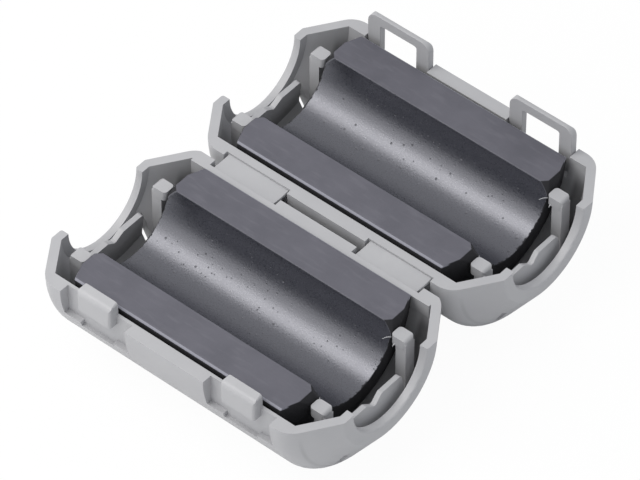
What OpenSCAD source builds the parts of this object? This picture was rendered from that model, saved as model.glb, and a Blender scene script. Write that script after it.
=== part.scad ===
/* Clip on ferrite bead, open flat: two casing halves with a half core in
   each, joined by two flexible straps and closed by two latch loops.
   X runs along the cable, Y across both halves, Z up from the table. */

/* [Ferrite cores] */
// Length of each half core along the cable
core_length = 34.4; // [25:0.1:45]
// Outer diameter of the closed core
core_diameter = 23.5; // [21.5:0.1:30]
// Diameter of the cable channel
bore_diameter = 13; // [11.6:0.1:14]
// Height of the bevel round each outer end
end_bevel_height = 3.7; // [2:0.1:4.2]
// Length of that bevel along the cable
end_bevel_length = 1.45; // [0.8:0.05:2]
// Length of the steep bevel across each end of the core faces
face_bevel_length = 0.55; // [0.2:0.05:0.8]
// Depth of that bevel
face_bevel_depth = 1.3; // [0.6:0.1:1.6]
// Width of the corner cut off each core face where a hook sits
hook_corner_cut = 0.75; // [0.3:0.05:1]
// Slope of those corner cuts
hook_corner_slope = 58; // [45:1:60]
// Width of the chamfer along the outer edges of each core face
edge_chamfer_width = 0.3; // [0.1:0.05:0.5]
// Depth of that chamfer
edge_chamfer_depth = 0.25; // [0.1:0.05:0.5]
// How far the core faces stand above the casing rim
core_rise = 0.5; // [0.3:0.05:0.6]

/* [Casing halves] */
// Gap round each core in its casing
core_play = 0.45; // [0.3:0.05:0.8]
// Wall thickness of the barrel
barrel_wall = 1.8; // [1.7:0.05:2.5]
// Distance from each core end to the outside of the end wall
end_room = 5.25; // [5:0.05:8]
// Length of the taper at each end
taper_length = 3.85; // [3:0.05:4.2]
// Width of the flat ring round each cable hole
end_ring = 1.75; // [1.2:0.05:3]
// Radius that softens the barrel into the taper
shoulder_radius = 3; // [1:0.1:4]
// Radius at the outer edge of each end face
end_edge_radius = 0.4; // [0.1:0.1:0.8]
// Wall thickness along the tapers, square to the wall
taper_wall = 1.2; // [0.9:0.05:1.4]
// Thickness of each end wall
end_wall = 1.1; // [0.8:0.1:1.2]
// How much wider than the channel the cable holes are, in radius
hole_ease = 0.05; // [0:0.05:0.5]
// Radius on the outer lip of the cable hole
hole_lip_radius = 0.3; // [0.1:0.05:0.35]
// Distance of the core seats from the middle of the casing
seat_distance = 10; // [6:0.5:12]
// Length of a core seat along the cable
seat_length = 1.5; // [1:0.1:3]
// Width of a core seat across the casing
seat_width = 8; // [5:0.5:9]

/* [Core hooks] */
// Gap between a hook head and the core end
hook_gap = 0.15; // [0.1:0.05:0.4]
// Distance of the hooks from the channel wall, across it
hook_clear = 0.8; // [0.5:0.1:1.5]
// Length of a hook head along the cable
hook_head_length = 2.2; // [1.8:0.1:2.6]
// Width of a hook head
hook_head_width = 1.8; // [1.4:0.1:2.4]
// Height of a hook head
hook_head_height = 1.4; // [1:0.1:1.8]
// Corner radius of a hook head seen from above
hook_corner_radius = 0.5; // [0.1:0.1:0.6]
// Radius along the outer top edge of a hook head
hook_edge_radius = 0.5; // [0.2:0.1:0.7]
// Length of a hook post along the cable
hook_post_length = 1.5; // [1:0.1:1.7]
// Width of a hook post
hook_post_width = 1.6; // [1:0.05:1.8]
// How far the hook heads stand below the rim
hook_drop = 0.6; // [0.4:0.05:0.8]
// Shift of the hooks and leaves to one side, so that shut halves stagger them
stagger = 0.35; // [0:0.05:0.5]

/* [Cable grip leaves] */
// Distance of the leaf tips from the outside of the end wall
leaf_inset = 2.9; // [2.6:0.05:3.3]
// Thickness of a leaf
leaf_thickness = 0.7; // [0.4:0.1:0.8]
// How far the leaf tips reach into the channel
leaf_bite = 2; // [1:0.1:2.4]
// Half width of the pair of leaves at their tips
leaf_reach = 5; // [4:0.1:5.2]
// Half width of the notch between the leaves, at the tips
leaf_notch_half = 1.4; // [0.8:0.1:1.8]
// Depth of the notch between the leaves
leaf_notch_depth = 0.9; // [0.6:0.1:1.6]
// Width of the flat at the bottom of the notch
leaf_notch_flat = 0.3; // [0.1:0.1:0.6]
// Radius of the corners at the leaf tips
leaf_corner_radius = 0.5; // [0.2:0.1:0.6]
// Half width of the pair of leaves at their foot
leaf_foot_half = 5.2; // [5:0.1:5.6]
// How far inside the cavity wall's radius the leaves meet the taper
leaf_foot_inset = 2.5; // [2:0.1:3]
// Inward lean of the leaves
leaf_lean = 8; // [0:1:12]
// Width of the slot through the taper beside each leaf
leaf_slot_width = 1; // [0.6:0.1:1.2]
// Length of that slot along the cable
leaf_slot_length = 1.4; // [0.8:0.1:1.6]

/* [Catches on the near half] */
// Distance of both latches from the middle of the casing
latch_distance = 11; // [9:0.1:11.2]
// Wall left behind each catch pocket at the rim
pocket_wall = 0.4; // [0.3:0.05:0.6]
// Depth of the pocket below the rim
pocket_depth = 4.2; // [3.8:0.1:5]
// Gap between a loop and each side of its pocket
pocket_side_gap = 0.25; // [0.1:0.05:0.4]
// Gap between the window and each side of the catch pad
pad_side_gap = 0.25; // [0.15:0.05:0.8]
// Height of the pad's top above the rim
pad_rise = 1.9; // [1.2:0.05:2.2]
// Depth of the pad's lower edge below the rim
pad_drop = 1.4; // [1.2:0.1:1.8]
// How far the pad stands out from the pocket floor
pad_hold = 1.25; // [0.8:0.05:1.3]
// How far the pad's inner face stands back from the cavity wall
pad_setback = 0.1; // [0.05:0.05:0.4]
// How much lower the pad's top is at its outer edge
pad_slope = 0.25; // [0:0.05:0.5]
// Radius along the pad's outer top edge
pad_lead_radius = 0.8; // [0.3:0.1:0.9]
// Radius of the pad's corners
pad_corner_radius = 0.45; // [0.1:0.05:0.6]
// Depth of the relief slot under each pad, below the pocket
pad_slot_depth = 0.7; // [0.3:0.1:1]

/* [Latch loops on the far half] */
// Outer width of a loop
loop_width = 9.5; // [7.5:0.1:11]
// Width of each post of a loop
post_width = 1.925; // [1.4:0.025:2.4]
// Height of the bar across the top of a loop
bar_height = 1.35; // [1:0.05:1.5]
// Thickness of a loop
loop_thickness = 0.95; // [0.9:0.05:1.15]
// Radius of the loop's top corners
loop_corner_radius = 1.4; // [0.6:0.1:1.8]
// Radius along the top outer edge of the bar
bar_edge_radius = 0.7; // [0.3:0.1:0.8]
// Radius of the window's corners
window_corner_radius = 0.35; // [0.1:0.05:0.6]
// Depth of the flexing root below the rim
root_depth = 3.2; // [3:0.05:3.5]
// Depth below the rim at which a loop starts to thin towards its root
loop_thin_depth = 1.5; // [1:0.1:2]
// Radius of the flexing root
root_radius = 0.45; // [0.35:0.05:0.5]
// Height of the solid foot between the root and the window
loop_foot = 0.7; // [0.5:0.05:1]

/* [Hinge side] */
// Wall left on the flattened hinge side of the near half
hinge_wall_thickness = 1.5; // [1.2:0.05:1.6]
// Gap between the two hinge walls when open
hinge_gap = 1.3; // [1.2:0.05:2.5]
// Distance of the hinge wall's corners from the ends of the barrel
hinge_wall_inset = 0.3; // [0.1:0.05:0.6]
// Gap between the core and the ledge inside the hinge wall
ledge_gap = 0.1; // [0.05:0.05:0.3]
// Depth of that ledge below the rim
ledge_depth = 2; // [1:0.1:3]
// Distance of both straps from the middle of the casing
strap_distance = 10.95; // [9:0.05:11.2]
// Width of a strap
strap_width = 9.3; // [6:0.1:9.4]
// Thickness of a strap
strap_thickness = 0.6; // [0.4:0.05:0.8]
// How far the straps lie below the rim
strap_drop = 0.25; // [0.15:0.05:0.5]
// Thickness of the rim strip that a strap is rooted in
strap_root_wall = 0.5; // [0.3:0.05:0.7]
// Width of the slit beside each strap edge
slit_width = 0.45; // [0.3:0.05:0.5]
// Depth of those slits below the rim
slit_depth = 1.8; // [1.2:0.1:2.4]
// Gap between each edge of a strap and its groove in the far half
groove_side_gap = 0.3; // [0.1:0.05:0.5]
// Depth of that groove into the wall
groove_into_wall = 0.7; // [0.4:0.05:0.9]
// Depth of that groove below the rim
groove_below_rim = 3; // [2:0.1:4]

/* [Fits] */
// Gap between the two core faces when closed
face_gap = 0.1; // [0.1:0.05:0.2]
// Play between a loop's bar and the catch when closed
latch_play = 0.1; // [0.05:0.05:0.2]
// Gap between a closed loop and the pocket floor
loop_floor_gap = 0.05; // [0.05:0.05:0.2]
// Gap between a loop and the sides of its slot
loop_side_gap = 0.1; // [0.05:0.05:0.2]
// Gap round the flexing root in its seat
root_gap = 0.05; // [0.05:0.01:0.1]
// Gap under a strap
strap_gap = 0.1; // [0.05:0.05:0.2]

/* [Hidden] */
core_radius = core_diameter / 2;
bore_radius = bore_diameter / 2;
core_half = core_length / 2;
case_half = core_half + end_room;
cavity_radius = core_radius + core_play;
barrel_radius = cavity_radius + barrel_wall;
taper_start = case_half - taper_length;
end_hole_radius = bore_radius + hole_ease;
end_face_radius = end_hole_radius + end_ring;
hook_distance = core_half + hook_gap + hook_head_length / 2;
hook_offset = bore_radius + hook_clear;
leaf_distance = case_half - leaf_inset;
leaf_tip_depth = bore_radius - leaf_bite;
leaf_foot = cavity_radius - leaf_foot_inset;
pocket_floor = cavity_radius + pocket_wall;
pocket_width = loop_width + 2 * pocket_side_gap;
window_width = loop_width - 2 * post_width;
pad_width = window_width - 2 * pad_side_gap;
pad_back = cavity_radius + pad_setback;
pad_reach = pocket_floor + pad_hold;
loop_inner = pocket_floor + loop_floor_gap;
root_offset = loop_inner + root_radius;
window_depth = root_depth - loop_foot;
rim_gap = 2 * core_rise + face_gap;
window_top = pad_drop + rim_gap + latch_play;
loop_top = window_top + bar_height;
hinge_wall = cavity_radius + hinge_wall_thickness;
hinge_wall_half = taper_start - hinge_wall_inset;
strap_root = cavity_radius + strap_root_wall;
strap_seat = barrel_radius - groove_into_wall;
pitch = hinge_wall + hinge_gap + barrel_radius;
round_steps = 6;
cut_size = 90;
cut_margin = 1;
trim = 0.3;
smooth = 96;
casing_colour = "gainsboro";
ferrite_colour = "dimgray";

// Points of an arc of radius r that rounds corner b between a and c
function rounded(a, b, c, r) =
    let (u = (a - b) / norm(a - b))
    let (v = (c - b) / norm(c - b))
    let (half = acos(u * v) / 2)
    let (centre = b + (u + v) / norm(u + v) * r / sin(half))
    let (p = b + u * r / tan(half) - centre)
    let (q = b + v * r / tan(half) - centre)
    let (start = atan2(p[1], p[0]))
    let (turn = atan2(q[1], q[0]) - start)
    let (sweep = turn > 180 ? turn - 360 : turn < -180 ? turn + 360 : turn)
    [for (i = [0:round_steps])
        centre + r * [cos(start + sweep * i / round_steps),
                      sin(start + sweep * i / round_steps)]];

// The same outline for the other end of the casing, in reverse order
function other_end(points) =
    [for (i = [len(points) - 1:-1:0]) [points[i][0], -points[i][1]]];

// Removes everything above the rim plane
module below_rim() {
    difference() {
        children();
        translate([-cut_size / 2, -cut_size / 2, 0])
            cube(cut_size);
    }
}

// Turns a half outline of [radius, distance along X] about the X axis
module turned(half_outline) {
    rotate([0, 90, 0])
        rotate_extrude($fn = smooth)
            polygon(concat(half_outline, other_end(half_outline)));
}

// Rounded rectangle centred on the origin
module rounded_rectangle(size_x, size_y, r) {
    w = size_x / 2;
    h = size_y / 2;
    polygon(concat(
        rounded([-w, h], [w, h], [w, -h], r),
        rounded([w, h], [w, -h], [-w, -h], r),
        rounded([w, -h], [-w, -h], [-w, h], r),
        rounded([-w, -h], [-w, h], [w, h], r)));
}

// Outside of the casing: barrel, shoulder, taper and end face
module casing_outside() {
    barrel = [barrel_radius, 0];
    shoulder = [barrel_radius, taper_start];
    end_edge = [end_face_radius, case_half];
    lip = [end_hole_radius, case_half];
    hole = [end_hole_radius, 0];
    turned(concat(
        rounded(barrel, shoulder, end_edge, shoulder_radius),
        rounded(shoulder, end_edge, lip, end_edge_radius),
        rounded(end_edge, lip, hole, hole_lip_radius)));
}

// Hollow inside the casing, with walls of the given thicknesses
module casing_hollow() {
    slope = [end_face_radius, case_half] - [barrel_radius, taper_start];
    inward = [-slope[1], slope[0]] / norm(slope) * taper_wall;
    on_wall = [barrel_radius, taper_start] + inward;
    rise = slope[1] / slope[0];
    knee = on_wall[1] + (cavity_radius - on_wall[0]) * rise;
    end_plane = case_half - end_wall;
    end_radius = on_wall[0] + (end_plane - on_wall[1]) / rise;
    turned([[cavity_radius, knee], [end_radius, end_plane], [0, end_plane]]);
}

// One core hook: a post from the taper wall and a rounded head
module hook() {
    l = hook_head_length / 2;
    top = -hook_drop;
    base = top - hook_head_height;
    intersection() {
        translate([0, 0, base])
            linear_extrude(hook_head_height)
                rounded_rectangle(hook_head_length, hook_head_width, hook_corner_radius);
        translate([0, hook_head_width, 0])
            rotate([90, 0, 0])
                linear_extrude(2 * hook_head_width)
                    polygon(concat([[-l, base], [-l, top]],
                        rounded([-l, top], [l, top], [l, base], hook_edge_radius),
                        [[l, base]]));
    }
    translate([l - hook_post_length, -hook_post_width / 2, -barrel_radius])
        cube([hook_post_length, hook_post_width, barrel_radius + base + hook_head_height / 2]);
}

// Points of one leaf from its foot to the notch
function leaf_outline() =
    let (foot = [leaf_foot_half, -leaf_foot])
    let (outer_tip = [leaf_reach, -leaf_tip_depth])
    let (inner_tip = [leaf_notch_half, -leaf_tip_depth])
    let (notch = [leaf_notch_flat / 2, -leaf_tip_depth - leaf_notch_depth])
    concat([foot],
        rounded(foot, outer_tip, inner_tip, leaf_corner_radius),
        rounded(outer_tip, inner_tip, notch, leaf_corner_radius),
        [notch]);

// The pair of thin leaves that grip the cable at one end
module grip_leaves() {
    right = leaf_outline();
    left = [for (i = [len(right) - 1:-1:0]) [-right[i][0], right[i][1]]];
    translate([leaf_distance, 0, -leaf_tip_depth])
        rotate([0, -leaf_lean, 0])
            translate([0, 0, leaf_tip_depth])
                rotate([90, 0, 90])
                    linear_extrude(leaf_thickness)
                        polygon(concat(right, left));
}

// Hooks and leaves at both ends of one half
module end_fittings() {
    for (end = [-1, 1]) {
        translate([0, -stagger, 0]) {
            mirror([(1 - end) / 2, 0, 0]) {
                grip_leaves();
                for (side = [-1, 1]) {
                    translate([hook_distance, side * hook_offset, 0])
                        hook();
                }
            }
        }
    }
}

// Slots through both tapers, one beside each leaf
module leaf_slots() {
    top = -leaf_tip_depth - leaf_notch_depth;
    for (end = [-1, 1]) {
        for (side = [-1, 1]) {
            translate([end * (leaf_distance + leaf_slot_length / 2),
                       side * (leaf_foot_half + leaf_slot_width / 2) - stagger,
                       top - barrel_radius / 2])
                cube([leaf_slot_length, leaf_slot_width, barrel_radius], center = true);
        }
    }
}

// Plain half casing that both halves share
module half_casing() {
    below_rim() {
        difference() {
            casing_outside();
            casing_hollow();
            leaf_slots();
        }
        intersection() {
            union() {
                end_fittings();
                core_seats();
            }
            casing_envelope();
        }
    }
}

// Two low blocks on the casing floor that hold the core up
module core_seats() {
    for (side = [-1, 1]) {
        translate([side * seat_distance - seat_length / 2, -seat_width / 2, -barrel_radius])
            cube([seat_length, seat_width, barrel_radius + core_rise - core_radius]);
    }
}

// The solid envelope of the casing, used to trim what is inside it
module casing_envelope() {
    turned([[barrel_radius - trim, taper_start - trim],
            [end_face_radius - trim, case_half - trim],
            [0, case_half - trim]]);
}

// Catch pad: a rounded block with a lead-in top and a square lower edge
module catch_pad() {
    w = pad_width / 2;
    outer_top = [pad_reach, pad_rise - pad_slope];
    intersection() {
        translate([w, 0, 0])
            rotate([90, 0, -90])
                linear_extrude(pad_width)
                    polygon(concat(
                        [[pad_back, -pad_drop], [pad_back, pad_rise]],
                        rounded([pad_back, pad_rise], outer_top, [pad_reach, 0], pad_lead_radius),
                        [[pad_reach, -pad_drop]]));
        rotate([90, 0, 0])
            linear_extrude(cut_size)
                polygon(concat(
                    [[-w, -pad_drop]],
                    rounded([-w, -pad_drop], [-w, pad_rise], [w, pad_rise], pad_corner_radius),
                    rounded([-w, pad_rise], [w, pad_rise], [w, -pad_drop], pad_corner_radius),
                    [[w, -pad_drop]]));
        translate([0, 0, -cut_size / 2])
            linear_extrude(cut_size)
                polygon(concat(
                    [[w, 0], [-w, 0]],
                    rounded([-w, 0], [-w, -pad_reach], [w, -pad_reach], pad_corner_radius),
                    rounded([-w, -pad_reach], [w, -pad_reach], [w, 0], pad_corner_radius)));
    }
    translate([-w, -pocket_floor - trim, -pad_drop])
        cube([pad_width, pocket_floor + trim - pad_back, pad_drop - trim]);
}

// Ledge along the inside of the hinge wall, close to the core
module hinge_ledge() {
    ledge_face = core_radius + ledge_gap;
    translate([-taper_start + trim, ledge_face, -ledge_depth])
        cube([2 * (taper_start - trim), cavity_radius + trim - ledge_face, ledge_depth]);
}

// Near half: pockets and catches at -Y, flattened hinge wall at +Y
module near_half() {
    difference() {
        union() {
            half_casing();
            hinge_ledge();
        }
        for (side = [-1, 1]) {
            translate([side * latch_distance, 0, 0]) {
                translate([-pocket_width / 2, -pocket_floor - cut_size, -pocket_depth])
                    cube([pocket_width, cut_size, cut_size]);
                translate([-pad_width / 2, -pocket_floor - cut_size, -pocket_depth - pad_slot_depth])
                    cube([pad_width, cut_size, cut_size]);
            }
            translate([side * strap_distance, strap_root, 0]) {
                translate([-strap_width / 2 - slit_width, 0, -slit_depth])
                    cube([slit_width, cut_size, cut_size]);
                translate([strap_width / 2, 0, -slit_depth])
                    cube([slit_width, cut_size, cut_size]);
                translate([-strap_width / 2, 0, -strap_drop - strap_thickness - strap_gap])
                    cube([strap_width, cut_size, cut_size]);
            }
        }
        translate([-hinge_wall_half, hinge_wall, -cut_size / 2])
            cube([2 * hinge_wall_half, cut_size, cut_size]);
    }
    for (side = [-1, 1]) {
        translate([side * latch_distance, 0, 0])
            catch_pad();
    }
}

// Far half: slots for the latch loops at +Y, strap grooves at -Y
module far_half() {
    slot_width = loop_width + 2 * loop_side_gap;
    groove_width = strap_width + 2 * groove_side_gap;
    difference() {
        half_casing();
        for (side = [-1, 1]) {
            translate([side * latch_distance - slot_width / 2, 0, 0]) {
                translate([0, core_radius, -root_depth])
                    cube([slot_width, cut_size, cut_size]);
                translate([0, root_offset, -root_depth])
                    rotate([0, 90, 0])
                        cylinder(h = slot_width, r = root_radius + root_gap, $fn = smooth);
            }
            translate([side * strap_distance - groove_width / 2,
                       -barrel_radius - cut_margin, -groove_below_rim])
                cube([groove_width, groove_into_wall + cut_margin, cut_size]);
        }
    }
}

// What is cut off a core face at one end: a bevel across and a hook corner
module face_end_cut() {
    face_end = core_half - face_bevel_length;
    block = 6 * hook_corner_cut;
    translate([face_end, 0, 0])
        rotate([0, atan(face_bevel_depth / face_bevel_length), 0])
            translate([-cut_size / 2, 0, 0])
                cube(cut_size);
    translate([face_end - hook_corner_cut, bore_radius, 0])
        rotate([0, 0, -45])
            rotate([0, hook_corner_slope, 0])
                translate([-hook_corner_cut, -block / 2, 0])
                    cube(block);
}

// Half core with its channel
module half_core() {
    bevel_start = core_half - end_bevel_length;
    face_half = core_radius - edge_chamfer_width;
    translate([0, 0, core_rise])
        difference() {
            intersection() {
                turned([[core_radius, bevel_start],
                        [core_radius - end_bevel_height, core_half],
                        [bore_radius, core_half]]);
                translate([-core_length, 0, 0])
                    rotate([90, 0, 90])
                        linear_extrude(2 * core_length)
                            polygon([[-core_radius - trim, -core_radius - trim],
                                     [core_radius + trim, -core_radius - trim],
                                     [core_radius + trim, -edge_chamfer_depth - trim],
                                     [core_radius, -edge_chamfer_depth],
                                     [face_half, 0],
                                     [-face_half, 0],
                                     [-core_radius, -edge_chamfer_depth],
                                     [-core_radius - trim, -edge_chamfer_depth - trim]]);
            }
            for (end = [0, 1]) {
                for (side = [0, 1]) {
                    mirror([end, 0, 0])
                        mirror([0, side, 0])
                            face_end_cut();
                }
            }
        }
}

// Outline of a latch loop seen along Y, with its window
module loop_outline() {
    w = loop_width / 2;
    window_height = window_top + window_depth;
    difference() {
        polygon(concat(
            [[-w, -root_depth]],
            rounded([-w, -root_depth], [-w, loop_top], [w, loop_top], loop_corner_radius),
            rounded([-w, loop_top], [w, loop_top], [w, -root_depth], loop_corner_radius),
            [[w, -root_depth]]));
        translate([0, window_top - window_height / 2])
            rounded_rectangle(window_width, window_height, window_corner_radius);
    }
}

// Section of a latch loop seen along X: flat inside, following the barrel
module loop_section() {
    outer = loop_inner + loop_thickness;
    polygon(concat(
        [[loop_inner, -root_depth]],
        [[loop_inner, loop_top]],
        rounded([loop_inner, loop_top], [outer, loop_top], [outer, 0], bar_edge_radius),
        [[outer, -loop_thin_depth]],
        [[root_offset + root_radius, -root_depth]]));
}

// One latch loop on its flexing root
module latch_loop() {
    intersection() {
        translate([0, cut_size / 2, 0])
            rotate([90, 0, 0])
                linear_extrude(cut_size)
                    loop_outline();
        translate([-loop_width, 0, 0])
            rotate([90, 0, 90])
                linear_extrude(2 * loop_width)
                    loop_section();
    }
    translate([-loop_width / 2, root_offset, -root_depth])
        rotate([0, 90, 0])
            cylinder(h = loop_width, r = root_radius, $fn = smooth);
}

// One flexible strap, from the near rim to its groove in the far half
module strap() {
    strap_length = pitch - strap_root - strap_seat;
    translate([-strap_width / 2, strap_root - pitch / 2, -strap_drop - strap_thickness])
        cube([strap_width, strap_length, strap_thickness]);
}

module near_shell() {
    color(casing_colour)
        translate([0, -pitch / 2, barrel_radius])
            near_half();
}

module near_core() {
    color(ferrite_colour)
        translate([0, -pitch / 2, barrel_radius])
            half_core();
}

module far_shell() {
    color(casing_colour)
        translate([0, pitch / 2, barrel_radius])
            far_half();
}

module far_core() {
    color(ferrite_colour)
        translate([0, pitch / 2, barrel_radius])
            half_core();
}

module hinge_strap(side) {
    color(casing_colour)
        translate([side * strap_distance, 0, barrel_radius])
            strap();
}

module placed_loop(side) {
    color(casing_colour)
        translate([side * latch_distance, pitch / 2, barrel_radius])
            latch_loop();
}

near_shell();
near_core();
far_shell();
far_core();
hinge_strap(-1);  // hinge_strap_left
hinge_strap(1);  // hinge_strap_right
placed_loop(-1);  // latch_loop_left
placed_loop(1);  // latch_loop_right
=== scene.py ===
import bpy
from math import radians, sin, cos
from mathutils import Vector, Matrix


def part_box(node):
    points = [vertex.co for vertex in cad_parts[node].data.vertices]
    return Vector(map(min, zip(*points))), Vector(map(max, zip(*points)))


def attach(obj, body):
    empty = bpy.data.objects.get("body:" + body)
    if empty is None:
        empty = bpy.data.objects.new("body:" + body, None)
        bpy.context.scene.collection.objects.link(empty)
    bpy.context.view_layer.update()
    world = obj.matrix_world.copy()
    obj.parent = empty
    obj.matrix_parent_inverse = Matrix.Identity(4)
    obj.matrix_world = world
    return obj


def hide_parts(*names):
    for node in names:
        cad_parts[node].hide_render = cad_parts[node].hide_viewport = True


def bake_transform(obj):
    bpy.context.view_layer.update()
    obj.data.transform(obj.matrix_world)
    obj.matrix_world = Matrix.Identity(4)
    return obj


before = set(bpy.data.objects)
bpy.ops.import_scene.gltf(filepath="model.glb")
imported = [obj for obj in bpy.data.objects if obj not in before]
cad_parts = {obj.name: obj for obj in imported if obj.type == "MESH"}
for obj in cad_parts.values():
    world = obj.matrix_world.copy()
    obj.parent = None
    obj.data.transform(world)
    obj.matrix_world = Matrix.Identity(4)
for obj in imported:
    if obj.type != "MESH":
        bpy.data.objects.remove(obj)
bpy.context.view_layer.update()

# ---------------------------------------------------------------- Viewpoint
# A long lens looks down on the open part from its catch side, well to the
# right, so both channels and the latch loops behind them are seen.
lens_turn, lens_tilt, lens_distance = radians(40.146), radians(46.974), 0.679876
mating_height, aim_right, aim_up = 0.0145, -0.000347, -0.002740
lens_back = Vector((sin(lens_turn) * cos(lens_tilt), -cos(lens_turn) * cos(lens_tilt), sin(lens_tilt)))
lens_right = Vector((cos(lens_turn), sin(lens_turn), 0.0))
lens_up = lens_back.cross(lens_right)
lens_aim = Vector((0.0, 0.0, mating_height)) + lens_right * aim_right + lens_up * aim_up
lens_axes = Matrix((lens_right, lens_up, lens_back)).transposed().to_4x4()
camera_data = bpy.data.cameras.new("long_lens")
camera_data.lens, camera_data.sensor_width = 325.06, 36.0
camera_data.clip_start, camera_data.clip_end = 0.05, 10.0
camera = bpy.data.objects.new("long_lens", camera_data)
bpy.context.scene.collection.objects.link(camera)
camera.matrix_world = Matrix.Translation(lens_aim + lens_back * lens_distance) @ lens_axes
bpy.context.scene.camera = camera


# ---------------------------------------------------------------- Table and light
# A white table that keeps a faint soft shadow and an even white room, which
# gives most of the light. A long key lamp runs along the channels on the
# catch side, with a weak wide lamp lower in front.
class Shade:
    """One socket of a finish, so that its maths is written as arithmetic."""

    def __init__(self, tree, socket=None):
        self.tree, self.socket = tree, socket

    def node(self, kind, settings, values, output=0):
        """Adds a node: its settings first, then the values or links of its sockets."""
        made = self.tree.nodes.new(kind)
        for name, setting in settings.items():
            setattr(made, name, setting)
        for key, value in values.items():
            if isinstance(value, Shade):
                self.tree.links.new(value.socket, made.inputs[key])
            else:
                made.inputs[key].default_value = value
        return Shade(self.tree, made.outputs[output] if made.outputs else None)

    def maths(self, operation, *others):
        """Adds one Math node that starts from this."""
        return self.node("ShaderNodeMath", {"operation": operation}, dict(enumerate((self, *others))))

    def __add__(self, other):
        return self.maths("ADD", other)

    def __sub__(self, other):
        return self.maths("SUBTRACT", other)

    def __rsub__(self, other):
        return self.node("ShaderNodeMath", {"operation": "SUBTRACT"}, {0: other, 1: self})

    def __mul__(self, other):
        return self.maths("MULTIPLY", other)

    def __abs__(self):
        return self.maths("ABSOLUTE")

    __radd__, __rmul__ = __add__, __mul__

    def between(self, low, high):
        """0 below low, 1 above high, and smooth in between."""
        return self.node("ShaderNodeMapRange", {"interpolation_type": "SMOOTHSTEP"},
                         {0: self, 1: low, 2: high, 3: 0.0, 4: 1.0})

    def colour(self, first, second):
        """The first colour where this is 0 and the second where it is 1."""
        return self.node("ShaderNodeMix", {"data_type": "RGBA"}, {0: self, 6: first, 7: second}, 2)


def soft_lamp(name, place, aim, length, width, power):
    """A rectangle of slightly warm light that the lens itself doesn't see."""
    lamp = bpy.data.lights.new(name, "AREA")
    lamp.shape, lamp.size, lamp.size_y, lamp.energy = "RECTANGLE", length, width, power
    lamp.color = (1.0, 0.98, 0.95)
    fixture = bpy.data.objects.new(name, lamp)
    fixture.visible_camera = False
    bpy.context.scene.collection.objects.link(fixture)
    fixture.location = place
    fixture.rotation_euler = (Vector(aim) - Vector(place)).to_track_quat("-Z", "Y").to_euler()


bpy.context.scene.view_settings.view_transform = "Standard"
bpy.ops.object.select_all(action="DESELECT")
bpy.ops.mesh.primitive_plane_add(size=6.0, location=(0, 0, 0))
table = bpy.context.object
table.name = "table"
table_white = bpy.data.materials.new("table_white")
table_white.use_nodes = True
table_white.node_tree.nodes.clear()
table_top = Shade(table_white.node_tree)
shadow_kept = 0.04
table_seen = table_top.node("ShaderNodeLightPath", {}, {}, "Is Camera Ray")
paint = table_top.node("ShaderNodeBsdfDiffuse", {}, {"Color": (0.9, 0.9, 0.9, 1)})
white = table_top.node("ShaderNodeEmission", {}, {"Color": (1, 1, 1, 1), "Strength": 1.0})
table_top.node("ShaderNodeOutputMaterial", {}, {"Surface": table_top.node(
    "ShaderNodeMixShader", {}, {0: table_seen * (1 - shadow_kept), 1: paint, 2: white})})
table.data.materials.append(table_white)

world = bpy.data.worlds.new("white_room")
bpy.context.scene.world = world
world.use_nodes = True
world.node_tree.nodes.clear()
room = Shade(world.node_tree)
room_seen = room.node("ShaderNodeLightPath", {}, {}, "Is Camera Ray")
room_mirrored = room.node("ShaderNodeLightPath", {}, {}, "Is Glossy Ray")
soft = room.node("ShaderNodeBackground", {}, {"Color": (0.95, 0.97, 1, 1), "Strength": 0.66})
bright = room.node("ShaderNodeBackground", {}, {"Color": (1, 1, 1, 1), "Strength": 1.0})
room.node("ShaderNodeOutputWorld", {}, {"Surface": room.node(
    "ShaderNodeMixShader", {}, {0: room_seen.maths("MAXIMUM", room_mirrored), 1: soft, 2: bright})})

soft_lamp("key", place=(-0.110, -0.101, 0.228), aim=(-0.110, 0, 0.012), length=0.25, width=0.13, power=0.43)
soft_lamp("front", place=(-0.13, -0.235, 0.18), aim=(-0.13, 0, 0.012), length=0.30, width=0.15, power=0.13)


# ---------------------------------------------------------------- Near casing half
# One light grey nylon moulding: the shell with its two catch pads, its core
# hooks and its grip leaves. Every edge has the mould's small radius, and shade
# is painted into the nylon deep in the wells between the core and the end walls.
def moulded_copy(name, node, edge_radius, material):
    """A copy of a solid with its loose triangles joined and its edges rounded."""
    piece = bpy.data.objects.new(name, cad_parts[node].data.copy())
    bpy.context.scene.collection.objects.link(piece)
    bpy.ops.object.select_all(action="DESELECT")
    bpy.context.view_layer.objects.active = piece
    piece.select_set(True)
    bpy.ops.object.mode_set(mode="EDIT")
    bpy.ops.mesh.select_all(action="SELECT")
    bpy.ops.mesh.remove_doubles(threshold=0.000002)
    bpy.ops.mesh.dissolve_limited(angle_limit=radians(0.6))
    bpy.ops.object.mode_set(mode="OBJECT")
    bevel = piece.modifiers.new("mould_radius", "BEVEL")
    bevel.width, bevel.segments = edge_radius, 3
    bevel.limit_method, bevel.angle_limit = "ANGLE", radians(30)
    bpy.ops.object.modifier_apply(modifier=bevel.name)
    bpy.ops.object.shade_smooth_by_angle(angle=radians(35))
    flat = piece.modifiers.new("flat_faces", "WEIGHTED_NORMAL")
    flat.weight, flat.keep_sharp = 100, True
    bpy.ops.object.modifier_apply(modifier=flat.name)
    piece.data.materials.clear()
    piece.data.materials.append(material)
    return piece


def finish(name):
    """A new material, its shading and the object's own coordinates."""
    made = bpy.data.materials.new(name)
    made.use_nodes = True
    place = Shade(made.node_tree).node("ShaderNodeTexCoord", {}, {}, "Object")
    return made, made.node_tree.nodes["Principled BSDF"], place


def feed(surface, socket, shade):
    """Links what changes over a surface to one socket of its shading."""
    shade.tree.links.new(shade.socket, surface.inputs[socket])


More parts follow.
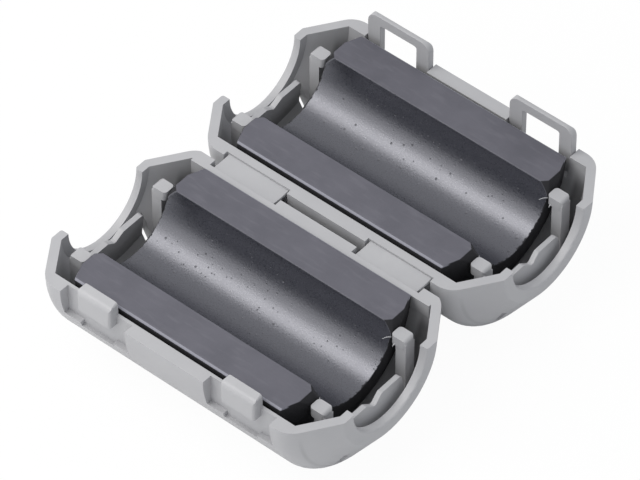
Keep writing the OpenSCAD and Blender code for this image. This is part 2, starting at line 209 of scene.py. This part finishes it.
def noise(place, scale, detail, roughness=0.5):
    return place.node("ShaderNodeTexNoise", {}, {
        "Vector": place, "Scale": scale, "Detail": detail, "Roughness": roughness})


def bump(height, strength, distance):
    return height.node("ShaderNodeBump", {}, {"Strength": strength, "Distance": distance, "Height": height})


def half_places(place, axis_z):
    """How far a point is along the cable, beside its axis, below it and from it."""
    along, across, height = [place.node("ShaderNodeSeparateXYZ", {}, {"Vector": place}, axis)
                             for axis in "XYZ"]
    beside, depth = abs(abs(across) - cable_axis_y), axis_z - height
    return abs(along), beside, depth, (beside * beside + depth * depth).maths("SQRT")


mould_radius, cable_axis_y, barrel_axis_z = 0.00022, 0.0145, 0.0140
well_start, well_end = (0.0166, 0.0174), (0.0192, 0.0197)
well_inside, well_outside = (0.0104, 0.0112), (0.0124, 0.0130)
well_depth, well_shade_tone = (0.0008, 0.0040), (0.11, 0.11, 0.115, 1)
casing_nylon, surface, place = finish("casing_nylon")
along, beside, depth, reach = half_places(place, barrel_axis_z)
# Painted shade: deep in the wells between the core and the end walls the nylon's grey is mixed towards a
# dark tone.
well_shade = along.between(*well_start) * (1 - along.between(*well_end)) * depth.between(*well_depth)
well_shade = well_shade * reach.between(*well_inside) * (1 - reach.between(*well_outside))
cloudy = noise(place, 260.0, 3.0)
spark = noise(place, 9000.0, 2.0)
grey = cloudy.between(0.3, 0.7).colour((0.404, 0.405, 0.420, 1), (0.422, 0.423, 0.437, 1))
feed(surface, "Base Color", (well_shade * 0.85).colour(grey, well_shade_tone))
feed(surface, "Roughness", 0.40 + cloudy * 0.12)
feed(surface, "Normal", bump(spark + cloudy * 0.6, 0.35, 0.00002))

near_casing = moulded_copy("near_casing", "near_shell", mould_radius, casing_nylon)
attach(near_casing, "near_half")
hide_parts("near_shell")


# ---------------------------------------------------------------- Moulding flash
# Thin shreds of nylon that the mould left on the hooks at the right end of
# both halves: a bent strand at the head's corner and a burr beside it.
def shred(path, thickness):
    """A round shred that starts at the path's first place and thins along it."""
    bpy.ops.object.select_all(action="DESELECT")
    bpy.ops.mesh.primitive_circle_add(vertices=8, radius=thickness, fill_type="NGON", location=path[0],
                                      rotation=(path[1] - path[0]).to_track_quat("Z", "Y").to_euler())
    piece = bpy.context.object
    bpy.ops.object.transform_apply(location=True, rotation=True, scale=True)
    bpy.ops.object.mode_set(mode="EDIT")
    bpy.ops.mesh.select_all(action="SELECT")
    for start, end in zip(path, path[1:]):
        bpy.ops.mesh.extrude_region_move(TRANSFORM_OT_translate={"value": end - start})
        bpy.ops.transform.resize(value=(0.6, 0.6, 0.6), center_override=end)
    bpy.ops.mesh.select_all(action="SELECT")
    bpy.ops.mesh.normals_make_consistent(inside=False)
    bpy.ops.object.mode_set(mode="OBJECT")
    return piece


hook_offset, hook_corner = -0.00035, 0.00645
strand_x, strand_z, strand_lift, strand_thickness = 0.01742, 0.0130, 0.00010, 0.00009
burr_x, burr_z, burr_thickness = 0.0180, 0.0122, 0.00012
for half, middle in (("near", -cable_axis_y), ("far", cable_axis_y)):
    shreds = []
    for side, length in ((1, 1.0), (-1, 0.45)):
        corner_y = middle + hook_offset + side * hook_corner
        corner = Vector((strand_x, corner_y, strand_z))
        away = Vector((-0.00050, -side * 0.00078, 0.0)) * length
        bend = corner + away * 0.6 + Vector((0, 0, strand_lift))
        shreds.append(shred([corner, bend, corner + away * 1.2], strand_thickness))
        burr = Vector((burr_x, corner_y, burr_z))
        shreds.append(shred([burr, burr + Vector((-0.0001, -side * 0.00022, -0.0001)),
                             burr + Vector((-0.0001, -side * 0.00034, -0.0003))], burr_thickness))
    bpy.ops.object.select_all(action="DESELECT")
    for piece in shreds:
        piece.select_set(True)
    bpy.context.view_layer.objects.active = shreds[0]
    bpy.ops.object.join()
    flash = bpy.context.object
    flash.name = half + "_flash"
    bpy.ops.object.shade_smooth()
    flash.data.materials.clear()
    flash.data.materials.append(casing_nylon)
    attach(flash, half + "_half")

# ---------------------------------------------------------------- Far casing half
# The other half of the same moulding, with slots for the latch loops in its
# outer wall and a groove in its hinge wall for each strap.
far_casing = moulded_copy("far_casing", "far_shell", mould_radius, casing_nylon)
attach(far_casing, "far_half")
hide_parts("far_shell")


# ---------------------------------------------------------------- Half cores
# Sintered ferrite: flat faces ground to mate, a satin channel with a few
# pits, and dull black ends as pressed. The hooks hold each in its half.
def pits(place, scale, floor, rim):
    """1 in the round pits of one size and 0 between them."""
    cells = place.node("ShaderNodeTexVoronoi", {}, {"Vector": place, "Scale": scale})
    return 1 - cells.between(floor, rim)


core_end_x, core_face_z, core_side_y, channel_radius = 0.0172, 0.0145, (0.0105, 0.0110), 0.0065
ground_skin, edge_foot, core_edge_radius = (0.00001, 0.00006), (0.00024, 0.00030), 0.00012
chip_depth, chip_low, chip_high = 0.0012, 0.00048, 0.00056
ferrite, surface, place = finish("ferrite")
surface.inputs["IOR"].default_value = 2.0
surface.inputs["Specular Tint"].default_value = (0.90, 0.91, 1.0, 1)
along, beside, depth, reach = half_places(place, core_face_z)

# Where a core is ground flat, carries a painted highlight along its long
# edges, is chipped at its ends and hollowed by the channel.
ground = 1 - depth.between(*ground_skin)
edge_highlight = depth.between(*ground_skin) * (1 - depth.between(*edge_foot)) * beside.between(*core_side_y)
ragged = noise(place, 1500.0, 4.0, 0.7)
chipped = (along + ragged * chip_depth).between(core_end_x + chip_low, core_end_x + chip_high)
channel = 1 - reach.between(channel_radius + 0.00004, channel_radius + 0.00008)
channel = channel * (1 - ground) * (1 - chipped)

# Its mottling and grain, the pits in patches along the channel, and the
# smears that grinding leaves on the flat faces.
blotch = noise(place, 220.0, 4.0, 0.6)
grain = noise(place, 5200.0, 3.0, 0.7)
patchy = noise(place, 160.0, 2.0).between(0.42, 0.62)
large_pit, small_pit = pits(place, 640.0, 0.06, 0.11), pits(place, 1500.0, 0.09, 0.17)
pit = large_pit.maths("MAXIMUM", small_pit * patchy) * channel
swept = place.node("ShaderNodeMapping", {}, {
    "Vector": place, "Rotation": (0, 0, 0.6), "Scale": (0.3, 1.5, 1)})
smear = noise(swept, 900.0, 3.0).between(0.5, 0.72)

# Slate grey where ground, satin black in the channel, a painted highlight
# along the long edges, and dull black ends.
slate = blotch.between(0.2, 0.8).colour((0.036, 0.035, 0.047, 1), (0.063, 0.061, 0.077, 1))
slate = (smear * 0.4).colour(slate, (0.090, 0.088, 0.105, 1))
satin = grain.between(0.3, 0.7).colour((0.016, 0.017, 0.023, 1), (0.030, 0.031, 0.039, 1))
# Painted highlight: a bright band along the cores' long edges, just below the ground face.
painted_edge_highlight = grain.colour((0.16, 0.16, 0.19, 1), (0.24, 0.24, 0.28, 1))
dull_black = blotch.colour((0.010, 0.010, 0.012, 1), (0.020, 0.020, 0.024, 1))
worked_and_highlit_colour = edge_highlight.colour(ground.colour(satin, slate), painted_edge_highlight)
feed(surface, "Base Color", pit.colour(worked_and_highlit_colour, (0.008, 0.008, 0.010, 1)))
feed(surface, "Roughness", 0.70 - channel * (0.575 - grain * 0.30) + pit * 0.3 + blotch * 0.06)
feed(surface, "Normal", bump(grain * (0.5 + channel * 0.5) - pit * 1.5, 0.6, 0.00003))
polished = Shade(place.tree, surface.outputs[0])
as_pressed = place.node("ShaderNodeBsdfPrincipled", {}, {
    "Base Color": dull_black, "Roughness": 0.85, "IOR": 1.45, "Normal": bump(grain, 0.6, 0.00006)})
worked_and_highlit = channel.maths("MAXIMUM", ground).maths("MAXIMUM", edge_highlight)
feed(ferrite.node_tree.nodes["Material Output"], "Surface",
     place.node("ShaderNodeMixShader", {}, {0: worked_and_highlit, 1: as_pressed, 2: polished}))

for name, body in (("near_core", "near_half"), ("far_core", "far_half")):
    core = moulded_copy(name + "_ground", name, core_edge_radius, ferrite)
    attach(core, body)
    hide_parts(name)

# ---------------------------------------------------------------- Hinge straps
# Two thin flat straps of the same moulding, rooted in the near rim and in
# the far wall, a little thinner along the middle where they fold.
strap_rows, fold_thinning, strap_radius, root_overlap, hairline = 16, 0.3, 0.00008, 0.0002, 0.000001
for name in ("hinge_strap_left", "hinge_strap_right"):
    low, high = [Vector(corner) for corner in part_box(name)]
    middle, size = (low + high) / 2, high - low
    rows = [(low.y + size.y * row / strap_rows, 1 - fold_thinning * sin(radians(180) * row / strap_rows))
            for row in range(1, strap_rows)]
    bpy.ops.object.select_all(action="DESELECT")
    bpy.ops.mesh.primitive_cube_add(size=1.0, location=middle, scale=size)
    strap = bpy.context.object
    strap.name = name + "_fold"
    bpy.ops.object.transform_apply(location=True, rotation=True, scale=True)
    bpy.ops.object.mode_set(mode="EDIT")
    for row_y, thickness in rows:
        bpy.ops.mesh.select_all(action="SELECT")
        bpy.ops.mesh.bisect(plane_co=(0, row_y, 0), plane_no=(0, 1, 0))
    for row_y, thickness in rows:
        bpy.ops.mesh.select_all(action="DESELECT")
        bpy.ops.object.mode_set(mode="OBJECT")
        for vertex in strap.data.vertices:
            vertex.select = abs(vertex.co.y - row_y) < hairline
        bpy.ops.object.mode_set(mode="EDIT")
        bpy.ops.mesh.select_mode(type="VERT")
        bpy.ops.transform.resize(value=(1, 1, thickness), center_override=middle)
    bpy.ops.object.mode_set(mode="OBJECT")
    bevel = strap.modifiers.new("mould_radius", "BEVEL")
    bevel.width, bevel.segments = strap_radius, 2
    bevel.limit_method, bevel.angle_limit = "ANGLE", radians(40)
    bpy.ops.object.modifier_apply(modifier=bevel.name)
    bpy.ops.object.shade_smooth_by_angle(angle=radians(35))
    strap.data.materials.append(casing_nylon)
    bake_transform(strap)
    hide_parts(name)

# ---------------------------------------------------------------- Latch loops
# Two springy loops of the same moulding that stand in the far wall's slots
# and snap over the catch pads when the part is folded shut.
loop_radius = 0.0002
for side, body in (("left", "left_loop"), ("right", "right_loop")):
    loop = moulded_copy("loop_" + side, "latch_loop_" + side, loop_radius, casing_nylon)
    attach(loop, body)
    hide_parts("latch_loop_" + side)
